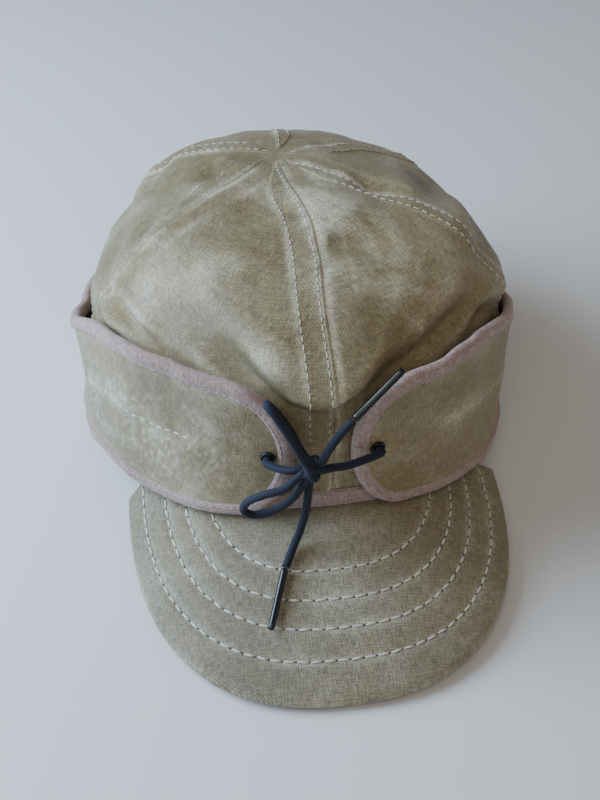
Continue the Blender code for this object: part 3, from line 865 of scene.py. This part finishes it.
# %% Lining, sweatband and base tape
LINING_INSET = 0.0024
lining = cloth("crown_lining_cloth", 240, 60,
               lambda u, v: crown_point(2 * pi * u, 0.01 + 0.985 * v, LINING_INSET),
               lambda u, v: (u * ROUND_LENGTH, v * PANEL_LENGTH), black_cloth, 0.0006, None, True)
on_cap(lining, "black_lining", "crown_lining")


def ring(angle, out, height):
    """A place round the head: out metres off the crown, height over its lower edge."""
    level = low_edge(angle) + height
    out += lean(angle, level)
    return Vector(((CROWN_WIDE + out) * sin(angle), HEAD_Y - (CROWN_LONG + out) * cos(angle), level))


SWEAT_HEIGHT = sweat_high.z - sweat_low.z - RISE
sweat = cloth("sweatband_cloth", 240, 14,
              lambda u, v: ring(2 * pi * u, -0.0037 - 0.0006 * sin(pi * v),
                                0.001 + (SWEAT_HEIGHT - 0.001) * v),
              lambda u, v: (u * ROUND_LENGTH, v * 0.032), sweat_cloth, 0.0011, None, True)
on_cap(sweat, "sweatband", "sweatband")

# (out from the crown, height over the edge) across the folded tape, outside to inside
TAPE_FOLD = ((0.0002, 0.0092), (0.0008, 0.0090), (0.0011, 0.0080), (0.0012, 0.0050), (0.0011, 0.0020),
             (0.0008, 0.0005), (-0.0010, 0.0000), (-0.0038, 0.0000), (-0.0052, 0.0006),
             (-0.0055, 0.0020), (-0.0054, 0.0085), (-0.0049, 0.0090))


def along_list(points, share):
    """A place at a share of the way through a list of points, straight between them."""
    reach = share * (len(points) - 1)
    first = min(int(reach), len(points) - 2)
    part = reach - first
    return [a + (b - a) * part for a, b in zip(points[first], points[first + 1])]


def base_tape_place(u, v):
    out, height = along_list(TAPE_FOLD, 1 - v)
    return ring(2 * pi * u, out, height)


base_tape = cloth("base_tape", 280, 22, base_tape_place, lambda u, v: (u * 0.57, v * 0.024), tape_cloth,
                  0.0, None, True)
on_cap(base_tape, "binding", "base_binding")


def ring_row(out, height, first, last, steps=300):
    spots = []
    for step in range(steps + 1):
        angle = first + (last - first) * step / steps
        across = Vector((sin(angle) * CROWN_LONG, -cos(angle) * CROWN_WIDE, 0)).normalized()
        spots.append((ring(angle, out, height), across))
    return spots


tape_rows = [ring_row(0.0012, height, 0, 2 * pi) for height in (0.0020, 0.0050, 0.0080)]
on_cap(stitches("base_tape_stitches", tape_rows, 0.0030, 0.0005, pink_thread), "binding")

# %% [markdown]
# ## Earband
# The band is one long strip with rounded ends.  At rest it is folded up against the crown; to warm
# the ears, its back part is pulled down while the laced ends stay in place.  Its top edge stands a
# little off the crown at the wearer's right, and the dark lining shows there.

# %% Where the band is
MIDDLE_ROW = 0.035
BAND_RADIUS = 0.097
ROUND_START = (BAND_END_GAP + BAND_END_LENGTH) / (CROWN_WIDE + BAND_OUT)
STRAIGHT_START = ROUND_START + 0.22


def band_flare(angle, height):
    """How far the band stands off its plain ring."""
    up = max(height / BAND_HEIGHT, 0.0)
    side = turned(angle)
    off = 0.0008 * hump(side, radians(-76), radians(24)) * up ** 1.4
    off -= 0.0020 * hump(side, radians(88), radians(40)) * up ** 1.2
    off -= 0.0004 * hump(side, radians(180), radians(40)) * up ** 1.4
    seed = Vector((sin(angle) * 4, cos(angle) * 4, up * 1.4))
    off += (noise.noise(seed) * 0.0022 + noise.noise(seed * 2.6) * 0.0009) * (0.35 + 0.65 * up)
    end = smooth(abs(side), radians(36), radians(8))
    off += 0.0012 * end * up
    return max(off, -0.0012)


def band_point(angle, height, out=0.0):
    return ring(angle, BAND_OUT + out + band_flare(angle, height), BAND_LIFT + height * ear(angle))


def band_end(turn, inset):
    """(angle, height) on the half-oval end, from its top at 0 to its foot at pi."""
    tip = BAND_END_GAP + BAND_END_LENGTH - (BAND_END_LENGTH - inset) * sin(turn)
    return tip / (CROWN_WIDE + BAND_OUT), BAND_HEIGHT / 2 + (BAND_HEIGHT / 2 - inset) * cos(turn)


def band_spot(u, v, inset=0.0008):
    """(angle, height) over the whole band: u from one end round the back, v upwards."""
    foot = STRAIGHT_START
    end_share = 0.07
    straight = inset + (BAND_HEIGHT - 2 * inset) * (1 - cos(pi * v)) / 2
    if end_share <= u <= 1 - end_share:
        return foot + (2 * pi - 2 * foot) * (u - end_share) / (1 - 2 * end_share), straight
    part = (u if u < 0.5 else 1 - u) / end_share
    tip, height = band_end(pi * (1 - v), inset)
    angle = tip + (foot - tip) * part
    height += (straight - height) * part
    return (angle if u < 0.5 else 2 * pi - angle), height


def band_cloth(name, out, thickness, columns, rows, material, rub_and_highlight=None):
    def place(u, v):
        angle, height = band_spot(u, v)
        return band_point(angle, height, out)

    def cut(u, v):
        angle, height = band_spot(u, v)
        return angle * BAND_RADIUS, height + low_edge(angle)

    return cloth(name, columns, rows, place, cut, material, thickness, rub_and_highlight)


def band_rub(u, v):
    angle, height = band_spot(u, v)
    edge = hump(min(height, BAND_HEIGHT - height), TAPE_WIDTH, 0.003) * 0.3
    middle = hump(height, MIDDLE_ROW, 0.004) * 0.70 * smooth(abs(turned(angle)), 0.45, 0.6)
    across = noise.noise(Vector((angle * 26 + height * 420, height * 260, 2.0)))
    scuffed = hump(turned(angle), radians(-52), radians(30)) * hump(height, 0.030, 0.018)
    return min(edge + middle + scuffed * smooth(abs(across), 0.20, 0.03) * 1.3, 1.0)


def across_joint(piece):
    """Bake the piece's placement into its mesh."""
    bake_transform(piece)
    return piece


band_outer = band_cloth("band_canvas", 0.0, 0.0012, 420, 44, waxed_canvas, band_rub)
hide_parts("earband_end_left_outer", "earband_end_right_outer", "earband_back_outer")
across_joint(band_outer)
band_inner = band_cloth("band_lining", -0.0016, 0.0008, 300, 20, black_cloth)
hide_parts("earband_end_left_lining", "earband_end_right_lining", "earband_back_lining")
across_joint(band_inner)

# %% [markdown]
# ## Binding of the band
# A tape 12 mm wide is folded over the whole raw edge of the band, round both ends and back, and
# sewn down with one row near its inner edge.

# %% Binding round the whole rim
LONG_SHARE = 0.427
# (inset from the rim, out from the band's face), outside to inside
RIM_FOLD = ((0.0062, 0.0000), (0.0061, 0.0005), (0.0056, 0.0008), (0.0040, 0.0011), (0.0022, 0.0011),
            (0.0010, 0.0007), (0.0003, -0.0002), (0.0000, -0.0013), (0.0004, -0.0024),
            (0.0014, -0.0031), (0.0040, -0.0032), (0.0060, -0.0030), (0.0062, -0.0026))


def rim_spot(run, inset):
    """(angle, height) at a share of the way round the rim, inset metres in from it."""
    run %= 1.0
    around = 2 * pi - 2 * ROUND_START
    if run < LONG_SHARE:
        angle = ROUND_START + around * run / LONG_SHARE
        return angle, inset / ear(angle)
    if run < 0.5:
        angle, height = band_end(pi * (1 - (run - LONG_SHARE) / (0.5 - LONG_SHARE)), inset)
        return 2 * pi - angle, height
    if run < 0.5 + LONG_SHARE:
        angle = 2 * pi - ROUND_START - around * (run - 0.5) / LONG_SHARE
        return angle, BAND_HEIGHT - inset / ear(angle)
    return band_end(pi * (run - 0.5 - LONG_SHARE) / (0.5 - LONG_SHARE), inset)


def rim_place(u, v):
    inset, out = along_list(RIM_FOLD, v)
    angle, height = rim_spot(u, inset)
    pucker = 0.00018 * noise.noise(Vector((u * 420, v * 2, 0)))
    pucker += 0.00025 * noise.noise(Vector((u * 90, 5, 0)))
    return band_point(angle, height, out + (pucker if out > 0 else 0.0))


rim_tape = cloth("band_binding_tape", 760, 24, rim_place, lambda u, v: (u * 1.23, v * 0.016), tape_cloth,
                 0.0, None, True)
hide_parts("earband_end_left_binding", "earband_end_right_binding",
            "earband_back_top_binding", "earband_back_lower_binding")
across_joint(rim_tape)


# %% Thread on the band
def band_row(spots, out):
    """Turn (angle, height) spots into places with their outward directions."""
    row = []
    for angle, height in spots:
        here = band_point(angle, height, out)
        along = band_point(angle + 0.004, height, out) - here
        up = band_point(angle, height + 0.0004, out) - here
        row.append((here, along.cross(up).normalized()))
    return row


rim_row = band_row([rim_spot(step / 1200, 0.0050) for step in range(1201)], 0.00095)
across_joint(stitches("band_binding_stitches", [rim_row], 0.0029, 0.0005, pink_thread))
FIRST_MIDDLE = radians(32)
middle_row = band_row([(FIRST_MIDDLE + (2 * pi - 2 * FIRST_MIDDLE) * step / 700,
                        MIDDLE_ROW + 0.0006 * sin(step * 0.11)) for step in range(701)], 0.0)
across_joint(stitches("band_middle_stitches", [middle_row], 0.0042, 0.0007, cream_thread))

# %% [markdown]
# ## Gusset
# A strip of lining joins the band to the crown's lower edge.  It gives a little when the band is
# pulled down.

# %% Gusset
GUSSET_FOOT = 0.0096
GUSSET_HEIGHT = 0.033


def gusset_place(u, v):
    angle = ROUND_START + (2 * pi - 2 * ROUND_START) * u
    ease = 0.0002 * sin(pi * v)
    return ring(angle, 0.0014 + ease, GUSSET_FOOT + (GUSSET_HEIGHT - GUSSET_FOOT) * v)


gusset = cloth("gusset_cloth", 240, 10, gusset_place, lambda u, v: (u * 0.5, v * 0.024), black_cloth, 0.0008)
on_cap(gusset, "black_lining", "earband_gusset")
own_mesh(gusset)

# %% [markdown]
# ## Eyelets
# Each end of the band has a black painted metal eyelet, a short tube with a rolled rim.  A turned
# shape is made by spinning its outline around its axis.

# %% Eyelets
black_paint = plain_material("eyelet_black", (0.018, 0.018, 0.022), 0.35)
fill(black_paint.node_tree, black_paint.node_tree.nodes["Principled BSDF"], Metallic=0.6)


def turned_mesh(name, outline, steps, holder, material):
    """Spin an outline of (radius, height) points about Z; holder puts it in place."""
    shape = bmesh.new()
    points = [shape.verts.new((radius, 0, height)) for radius, height in outline]
    edges = [shape.edges.new(pair) for pair in zip(points, points[1:] + points[:1])]
    bmesh.ops.spin(shape, geom=points + edges, axis=(0, 0, 1), cent=(0, 0, 0), angle=2 * pi,
                   steps=steps, use_merge=True)
    bmesh.ops.recalc_face_normals(shape, faces=shape.faces)
    for face in shape.faces:
        face.smooth = True
    shape.transform(holder)
    return made_from(shape, name, material)


EYELET_OFF_CENTRE = 0.0202
EYELET_ANGLE = asin(EYELET_OFF_CENTRE / (CROWN_WIDE + BAND_OUT))
EYELET_UP = 0.033
RIM_OUTLINE = ((0.00178, -0.0030), (0.00178, 0.0006), (0.0020, 0.0011), (0.0024, 0.0012), (0.0028, 0.0009),
               (0.0030, 0.0004), (0.0030, 0.0001), (0.0022, 0.0001), (0.00215, -0.0030))

WASHER_OUTLINE = ((0.0022, -0.0036), (0.0022, -0.0031), (0.0030, -0.0031), (0.0030, -0.0036))


def eyelet_seat(side):
    """The middle of an eyelet on the band's face, and its outward direction."""
    return band_row([(side * EYELET_ANGLE, EYELET_UP)], 0.0)[0]


def holder_at(place, direction):
    """A matrix that stands a turned shape at a place, along a direction."""
    return Matrix.Translation(place) @ direction.to_track_quat("Z", "Y").to_matrix().to_4x4()


for side, word in ((-1, "left"), (1, "right")):
    holder = holder_at(*eyelet_seat(side))
    rim = turned_mesh(f"eyelet_rim_{word}", RIM_OUTLINE, 32, holder, black_paint)
    on_cap(rim, "eyelet", f"eyelet_{word}")
    washer = turned_mesh(f"eyelet_back_{word}", WASHER_OUTLINE, 32, holder, black_paint)
    on_cap(washer, "eyelet", f"eyelet_washer_{word}")

# %% [markdown]
# ## Lace
# One braided lace comes out of each eyelet.  The two halves are knotted in the middle; each makes
# a loop of the bow and ends in a tail with a stiff tip.  A cord is a tube along a smooth path, and
# its braid is a fine crossing pattern that is moved into the surface, with a painted highlight on
# the raised strands and painted shade in the grooves between them.

# %% Lace material and tube
lace_cloth = plain_material("lace_braid", (0.010, 0.013, 0.024), 0.75)
lace_tree = lace_cloth.node_tree
# The braid attribute paints the lace lighter on its raised strands and darker in the grooves between them:
# painted highlight and painted shade.
braid_shade_source = lace_tree.nodes.new("ShaderNodeAttribute")
braid_shade_source.attribute_name = "braid"
braid_shade_tint = mix_colour(lace_tree, braid_shade_source.outputs["Fac"], (0.003, 0.004, 0.008), (0.017, 0.021, 0.036))
fill(lace_tree, lace_tree.nodes["Principled BSDF"], Base_Color=braid_shade_tint, Sheen_Weight=0.08,
     Specular_IOR_Level=0.3, Sheen_Roughness=0.35)
LACE = 0.0030


def smooth_path(points, spacing=0.0008):
    """A rounded line through the points, resampled to an even spacing."""
    ends = [points[0] * 2 - points[1], *points, points[-1] * 2 - points[-2]]
    fine = []
    for before, start, end, after in zip(ends, ends[1:], ends[2:], ends[3:]):
        for step in range(24):
            t = step / 24
            fine.append(0.5 * ((2 * start) + (end - before) * t
                               + (2 * before - 5 * start + 4 * end - after) * t * t
                               + (3 * start - before - 3 * end + after) * t * t * t))
    fine.append(points[-1].copy())
    even, left = [fine[0]], spacing
    for start, end in zip(fine, fine[1:]):
        length = (end - start).length
        while left < length:
            even.append(start.lerp(end, left / length))
            left += spacing
        left -= length
    return even


def braided_tube(name, path, radius, material, spacing=0.0005, around=18, braid=0.00013):
    """A closed tube along a path, with a braid of crossing strands in its surface and their painted shade
    and highlight.
    """
    path = smooth_path(path[::max(1, len(path) // 120)] + [path[-1]], spacing)
    shape = bmesh.new()
    shade = shape.verts.layers.float.new("braid")
    side = (path[1] - path[0]).orthogonal().normalized()
    rings = []
    for number, spot in enumerate(path):
        along = (path[min(number + 1, len(path) - 1)] - path[max(number - 1, 0)]).normalized()
        side = (side - along * side.dot(along)).normalized()
        other = along.cross(side)
        run = number * spacing
        loop = []
        for step in range(around):
            turn = 2 * pi * step / around
            one = sin(turn * 4 + run * 3600)
            two = sin(turn * 4 - run * 3600)
            weave = max(one, two) * 0.6 + one * two * 0.4
            vertex = shape.verts.new(spot + (side * cos(turn) + other * sin(turn))
                                     * (radius + braid * weave))
            vertex[shade] = min(max(0.5 + 0.5 * weave, 0), 1)
            loop.append(vertex)
        rings.append(loop)
    for near, far in zip(rings, rings[1:]):
        for step in range(around):
            after = (step + 1) % around
            shape.faces.new((near[step], near[after], far[after], far[step])).smooth = True
    shape.faces.new(rings[0][::-1])
    shape.faces.new(rings[-1])
    return made_from(shape, name, material)


# %% The two halves of the lace
def here(*millimetres):
    """A place in millimetres from the head's centre."""
    return Vector(millimetres) / 1000 + Vector((0, HEAD_Y, 0))


def lace_places(*triples):
    return [here(*triple) for triple in triples]


def out_of(side):
    """The lace comes through its eyelet from behind the band."""
    spot, out = eyelet_seat(side)
    return [spot - out * 0.0020, spot + out * 0.0012, spot + out * 0.0032]


KNOT = here(-6.0, -115.0, 68.5)
left_lace = out_of(-1) + lace_places((-15.6, -113.8, 66.2), (-11.0, -115.6, 67.6))
left_lace += [KNOT + Vector((0, 0.001, 0))] + lace_places(
    (-9.0, -117.6, 67.6), (-11.2, -118.4, 66.2), (-16.0, -120.2, 63.0), (-23.5, -119.2, 59.6),
    (-29.2, -116.8, 54.0), (-30.6, -115.4, 48.2), (-26.4, -115.6, 45.4), (-19.0, -116.8, 48.6),
    (-13.0, -118.2, 55.4), (-9.8, -118.4, 61.4), (-7.0, -118.6, 66.0), (-5.0, -116.6, 69.0),
    (-4.6, -115.6, 65.5), (-6.4, -116.6, 62.0), (-7.2, -117.4, 54.0), (-8.2, -117.0, 44.0),
    (-10.0, -116.6, 34.8), (-12.4, -118.2, 28.8), (-16.4, -125.4, 25.2))
right_lace = out_of(1) + lace_places(
    (9.0, -114.2, 66.6), (2.0, -116.4, 68.0), (-4.0, -118.0, 69.6), (-8.8, -113.2, 73.6),
    (-12.4, -109.6, 80.6), (-16.6, -108.6, 88.4), (-20.2, -109.8, 95.0), (-20.8, -113.0, 97.4),
    (-18.2, -115.6, 94.4), (-13.2, -117.2, 84.6), (-8.9, -118.2, 74.6), (-5.6, -118.6, 69.6),
    (-2.6, -116.0, 68.6), (-1.8, -117.6, 73.2), (0.2, -118.0, 79.0), (4.2, -116.6, 84.6),
    (9.2, -114.6, 89.2))
aglet_look = plain_material("aglet_black", (0.004, 0.004, 0.006), 0.24)
AGLETS = {"lower": (here(-16.7, -125.9, 25.0), here(-24.3, -147.8, 17.4)),
          "upper": (here(9.6, -114.4, 89.6), here(26.0, -106.6, 102.0))}
TIP_OUTLINE = ((0.0001, 0.0), (0.0013, 0.0), (0.0015, 0.0003), (0.00155, 0.0010), (0.0014, 0.0018),
               (0.00135, 0.0120), (0.0013, 0.0222), (0.0012, 0.0236), (0.0008, 0.0240), (0.0001, 0.0240))
tips = {}
for word, (start, toward) in AGLETS.items():
    holder = holder_at(start, toward - start)
    tips[word] = turned_mesh(f"lace_tip_{word}", TIP_OUTLINE, 28, holder, aglet_look)
    on_cap(tips[word], "aglet", f"aglet_{word}")


# %% The knot and the two halves of the lace
def knot_wrap(name, axis, radius, advance, turns, shift):
    """A turn or two of lace pulled tight round the crossing."""
    axis = Vector(axis).normalized()
    side = axis.orthogonal().normalized()
    other = axis.cross(side)
    path = []
    for step in range(25):
        turn = 2 * pi * turns * step / 24
        path.append(KNOT + Vector(shift) + (side * cos(turn) + other * sin(turn) * 0.8) * radius
                    + axis * advance * (step / 24 - 0.5))
    return on_cap(braided_tube(name, path, LACE / 2, lace_cloth), "lace")


wrap_one = knot_wrap("knot_wrap_over", (0.9, -0.1, 0.35), 0.0034, 0.0034, 1.05, (0.0006, -0.0016, -0.0002))
wrap_two = knot_wrap("knot_wrap_under", (-0.35, -0.15, 0.9), 0.0034, 0.0030, 1.0, (-0.0002, -0.0008, 0.0))
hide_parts("lace_knot")


def declared_lace(name, points, nodes):
    path = smooth_path(points)
    length = sum((b - a).length for a, b in zip(path, path[1:]))
    piece = on_cap(braided_tube(name, path, LACE / 2, lace_cloth), "lace", *nodes)
    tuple(path[0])
    print(f"{name}: {length * 1000:.0f} mm of lace")


declared_lace("lace_left_half", left_lace,
              ["lace_strand_left", "lace_loop_lower", "lace_tail_lower"])
declared_lace("lace_right_half", right_lace,
              ["lace_strand_right", "lace_loop_upper", "lace_tail_upper"])
